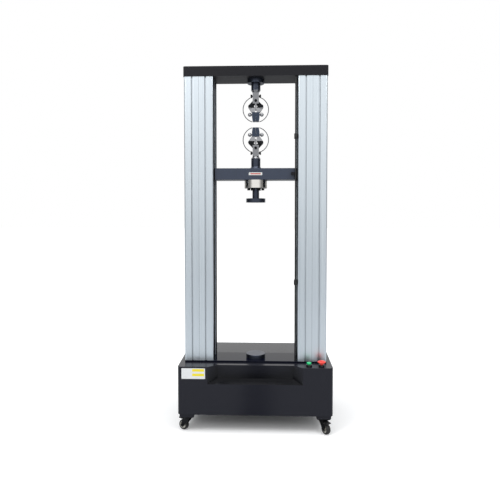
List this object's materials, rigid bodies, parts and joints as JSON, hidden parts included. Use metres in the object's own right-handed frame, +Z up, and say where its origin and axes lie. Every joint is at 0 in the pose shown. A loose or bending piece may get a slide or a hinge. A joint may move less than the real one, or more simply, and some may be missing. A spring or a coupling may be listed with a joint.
{
  "type": "universal testing machine",
  "caption": "Floor-standing universal testing machine on casters: hollow columns, a moving crosshead with load cell, compression platens and pincer tensile grips.",
  "frame": {"origin": "on the floor under the middle of the machine", "axes": "+X to the right of someone facing the machine, +Y to the back, +Z up"},
  "size_m": [0.774, 0.483, 1.829],
  "materials": {
    "base_paint": "satin",
    "plate_paint": "gloss",
    "beam_paint": "satin",
    "column_aluminium": "satin",
    "slot_strip": "matte",
    "ground_steel": "polished",
    "bearing_steel": "satin",
    "bush_bronze": "satin",
    "pulley_aluminium": "satin",
    "belt_rubber": "matte",
    "motor_paint": "satin",
    "control_case": "satin",
    "inlet_plastic": "matte",
    "platen_steel": "black oxide",
    "adapter_steel": "black oxide",
    "cell_nickel": "nickel plate",
    "bolt_steel": "black oxide",
    "grip_steel": "satin",
    "pin_steel": "black oxide",
    "arm_steel": "black oxide",
    "jaw_steel": "blued",
    "spring_wire": "satin",
    "rod_paint": "satin",
    "collar_plastic": "matte",
    "bezel_plastic": "gloss",
    "start_plastic": "gloss",
    "stop_plastic": "gloss",
    "caster_plate_steel": "zinc plate",
    "caster_fork_steel": "zinc plate",
    "caster_tread": "matte",
    "pedal_plastic": "matte"
  },
  "bodies": {
    "frame": {"chassis_frame": "base_paint", "base_cover": "base_paint", "rear_panel": "base_paint", "power_inlet": "inlet_plastic", "table_plate": "plate_paint", "left_column": "column_aluminium", "right_column": "column_aluminium", "column_slot_covers": "slot_strip", "top_beam": "beam_paint", "guide_rods": "ground_steel", "screw_bearings": "bearing_steel", "motor": "motor_paint", "timing_belt": "belt_rubber", "controller_box": "control_case", "lower_platen": "platen_steel", "limit_rod": "rod_paint", "button_bezels": "bezel_plastic", "caster_plates": "caster_plate_steel", "upper_adapter": "adapter_steel", "upper_grip_body": "grip_steel", "upper_grip_pins": "pin_steel", "upper_grip_springs": "spring_wire"},
    "crosshead": {"crosshead_beam": "beam_paint", "load_cell": "cell_nickel", "load_cell_bolts": "bolt_steel", "upper_platen": "platen_steel", "ball_nuts": "bearing_steel", "guide_bushings": "bush_bronze", "limit_finger": "beam_paint", "lower_adapter": "adapter_steel", "lower_grip_body": "grip_steel", "lower_grip_pins": "pin_steel", "lower_grip_springs": "spring_wire"},
    "left_screw": {"left_ball_screw": "ground_steel", "left_screw_pulley": "pulley_aluminium"},
    "right_screw": {"right_ball_screw": "ground_steel", "right_screw_pulley": "pulley_aluminium"},
    "motor_rotor": {"motor_pulley": "pulley_aluminium"},
    "upper_left_grip_arm": {"upper_left_arm": "arm_steel", "upper_left_jaw": "jaw_steel"},
    "upper_right_grip_arm": {"upper_right_arm": "arm_steel", "upper_right_jaw": "jaw_steel"},
    "lower_left_grip_arm": {"lower_left_arm": "arm_steel", "lower_left_jaw": "jaw_steel"},
    "lower_right_grip_arm": {"lower_right_arm": "arm_steel", "lower_right_jaw": "jaw_steel"},
    "upper_collar": {"upper_limit_collar": "collar_plastic"},
    "lower_collar": {"lower_limit_collar": "collar_plastic"},
    "start": {"start_button": "start_plastic"},
    "stop": {"stop_button": "stop_plastic"},
    "front_left_caster": {"front_left_caster_fork": "caster_fork_steel"},
    "front_left_wheel": {"front_left_caster_wheel": "caster_tread"},
    "front_left_brake": {"front_left_brake_pedal": "pedal_plastic"},
    "front_right_caster": {"front_right_caster_fork": "caster_fork_steel"},
    "front_right_wheel": {"front_right_caster_wheel": "caster_tread"},
    "front_right_brake": {"front_right_brake_pedal": "pedal_plastic"},
    "rear_left_caster": {"rear_left_caster_fork": "caster_fork_steel"},
    "rear_left_wheel": {"rear_left_caster_wheel": "caster_tread"},
    "rear_right_caster": {"rear_right_caster_fork": "caster_fork_steel"},
    "rear_right_wheel": {"rear_right_caster_wheel": "caster_tread"}
  },
  "joints": [
    {"name": "crosshead_travel", "type": "slide", "parent": "frame", "child": "crosshead", "axis": [0, 0, 1], "range_m": [-0.5, 0.025]},
    {"name": "left_screw_spin", "type": "hinge", "parent": "frame", "child": "left_screw", "pos_m": [-0.286, -0.075, 1], "axis": [0, 0, 1], "continuous": true},
    {"name": "right_screw_spin", "type": "hinge", "parent": "frame", "child": "right_screw", "pos_m": [0.286, -0.075, 1], "axis": [0, 0, 1], "continuous": true},
    {"name": "motor_spin", "type": "hinge", "parent": "frame", "child": "motor_rotor", "pos_m": [0, 0.12, 0.258], "axis": [0, 0, 1], "continuous": true},
    {"name": "upper_left_jaw_swing", "type": "hinge", "parent": "frame", "child": "upper_left_grip_arm", "pos_m": [0, -0.075, 1.6696], "axis": [0, 1, 0], "range_deg": [0, 7], "stiffness_Nm_per_rad": 3, "springref_deg": -8.59, "deforming": ["upper_grip_springs"]},
    {"name": "upper_right_jaw_swing", "type": "hinge", "parent": "frame", "child": "upper_right_grip_arm", "pos_m": [0, -0.075, 1.6696], "axis": [0, -1, 0], "range_deg": [0, 7], "stiffness_Nm_per_rad": 3, "springref_deg": -8.59},
    {"name": "lower_left_jaw_swing", "type": "hinge", "parent": "crosshead", "child": "lower_left_grip_arm", "pos_m": [0, -0.075, 1.4289], "axis": [0, -1, 0], "range_deg": [0, 7], "stiffness_Nm_per_rad": 3, "springref_deg": -8.59, "deforming": ["lower_grip_springs"]},
    {"name": "lower_right_jaw_swing", "type": "hinge", "parent": "crosshead", "child": "lower_right_grip_arm", "pos_m": [0, -0.075, 1.4289], "axis": [0, 1, 0], "range_deg": [0, 7], "stiffness_Nm_per_rad": 3, "springref_deg": -8.59},
    {"name": "upper_collar_slide", "type": "slide", "parent": "frame", "child": "upper_collar", "axis": [0, 0, 1], "range_m": [-0.1, 0.2]},
    {"name": "lower_collar_slide", "type": "slide", "parent": "frame", "child": "lower_collar", "axis": [0, 0, 1], "range_m": [-0.3, 0]},
    {"name": "start_press", "type": "slide", "parent": "frame", "child": "start", "axis": [0, 0, -1], "range_m": [0, 0.004], "stiffness_N_per_m": 400, "springref_m": -0.002},
    {"name": "emergency_stop_press", "type": "slide", "parent": "frame", "child": "stop", "axis": [0, 0, -1], "range_m": [0, 0.006], "stiffness_N_per_m": 600, "springref_m": -0.002},
    {"name": "front_left_caster_swivel", "type": "hinge", "parent": "frame", "child": "front_left_caster", "pos_m": [-0.34, -0.1945, 0.07], "axis": [0, 0, 1], "continuous": true},
    {"name": "front_left_wheel_roll", "type": "hinge", "parent": "front_left_caster", "child": "front_left_wheel", "pos_m": [-0.36079, -0.1825, 0.025], "axis": [0.5, 0.866, 0], "continuous": true},
    {"name": "front_left_brake_press", "type": "hinge", "parent": "front_left_caster", "child": "front_left_brake", "pos_m": [-0.35126, -0.188, 0.058], "axis": [-0.5, -0.866, 0], "range_deg": [0, 7]},
    {"name": "front_right_caster_swivel", "type": "hinge", "parent": "frame", "child": "front_right_caster", "pos_m": [0.34, -0.1945, 0.07], "axis": [0, 0, 1], "continuous": true},
    {"name": "front_right_wheel_roll", "type": "hinge", "parent": "front_right_caster", "child": "front_right_wheel", "pos_m": [0.352, -0.21529, 0.025], "axis": [-0.866, -0.5, 0], "continuous": true},
    {"name": "front_right_brake_press", "type": "hinge", "parent": "front_right_caster", "child": "front_right_brake", "pos_m": [0.3465, -0.20576, 0.058], "axis": [0.866, 0.5, 0], "range_deg": [0, 7]},
    {"name": "rear_left_caster_swivel", "type": "hinge", "parent": "frame", "child": "rear_left_caster", "pos_m": [-0.34, 0.1945, 0.07], "axis": [0, 0, 1], "continuous": true},
    {"name": "rear_left_wheel_roll", "type": "hinge", "parent": "rear_left_caster", "child": "rear_left_wheel", "pos_m": [-0.352, 0.21529, 0.025], "axis": [0.866, 0.5, 0], "continuous": true},
    {"name": "rear_right_caster_swivel", "type": "hinge", "parent": "frame", "child": "rear_right_caster", "pos_m": [0.34, 0.1945, 0.07], "axis": [0, 0, 1], "continuous": true},
    {"name": "rear_right_wheel_roll", "type": "hinge", "parent": "rear_right_caster", "child": "rear_right_wheel", "pos_m": [0.36079, 0.1825, 0.025], "axis": [-0.5, -0.866, 0], "continuous": true}
  ],
  "couplings": [
    {"joint": "left_screw_spin", "follows": "crosshead_travel", "rad_per_m": -628.32},
    {"joint": "right_screw_spin", "follows": "crosshead_travel", "rad_per_m": -628.32},
    {"joint": "motor_spin", "follows": "crosshead_travel", "rad_per_m": -1256.6},
    {"joint": "upper_right_jaw_swing", "follows": "upper_left_jaw_swing", "ratio": 1},
    {"joint": "lower_right_jaw_swing", "follows": "lower_left_jaw_swing", "ratio": 1}
  ]
}
